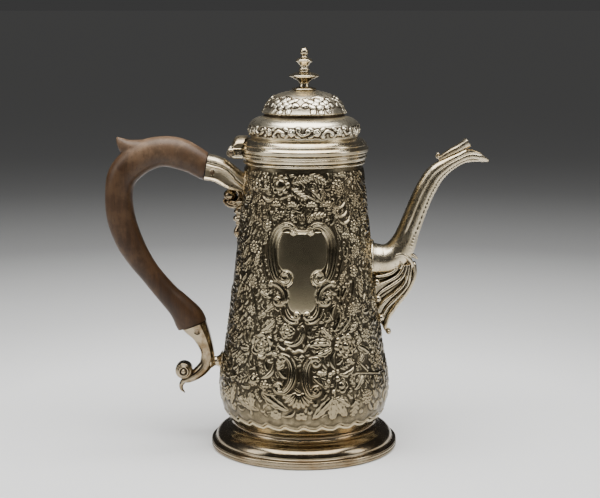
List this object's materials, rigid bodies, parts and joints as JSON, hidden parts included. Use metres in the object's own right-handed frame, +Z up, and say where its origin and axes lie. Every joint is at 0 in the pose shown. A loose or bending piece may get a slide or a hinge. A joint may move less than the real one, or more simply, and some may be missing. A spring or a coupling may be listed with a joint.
{
  "type": "coffee pot",
  "caption": "Tall tapering silver coffee pot with chased flowers and scrolls, a hinged domed lid, a curved spout opposite a wooden handle, and a round moulded foot.",
  "frame": {"origin": "on the table under the middle of the pot's overall box, 4.7 mm on the handle side of the pot's own upright axis", "axes": "+Z up, +X towards the spout, -X towards the handle, the lid's hinge axis along Y"},
  "size_m": [0.2428, 0.12, 0.255],
  "materials": {
    "silver_chased": "chased silver, bright ridges over dark tarnished recesses",
    "silver_plain": "worn polished silver with warm tarnish in the grooves",
    "silver_cast": "cast silver, polished, warm tarnish in the hollows",
    "silver_pin": "filed silver pin ends",
    "fruitwood": "satin worn reddish brown fruitwood"
  },
  "bodies": {
    "pot": {"body_shell": "silver_chased", "body_base": "silver_plain", "foot_edge": "silver_plain", "foot_moulding": "silver_plain", "foot_collar": "silver_plain", "mouth_wire": "silver_plain", "mouth_moulding": "silver_plain", "hinge_body_leaf": "silver_plain", "spout_tube": "silver_cast", "spout_collar": "silver_cast", "spout_shell": "silver_cast", "spout_crest": "silver_cast", "upper_socket": "silver_cast", "upper_socket_plate": "silver_cast", "upper_socket_drop": "silver_cast", "lower_socket": "silver_cast", "lower_socket_scroll": "silver_cast", "lower_socket_tail": "silver_cast", "lower_socket_strut": "silver_cast", "hinge_pin": "silver_pin", "upper_socket_pin": "silver_pin", "lower_socket_pin": "silver_pin", "handle_wood": "fruitwood"},
    "lid": {"lid_cover": "silver_chased", "lid_moulding": "silver_plain", "lid_bezel": "silver_plain", "hinge_lid_leaf": "silver_plain", "hinge_hood": "silver_plain", "finial_base": "silver_plain", "finial": "silver_plain", "finial_nut": "silver_plain"}
  },
  "joints": [
    {"name": "lid_hinge", "type": "hinge", "parent": "pot", "child": "lid", "pos_m": [-0.0411, 0, 0.19], "axis": [0, -1, 0], "range_deg": [0, 105]}
  ]
}
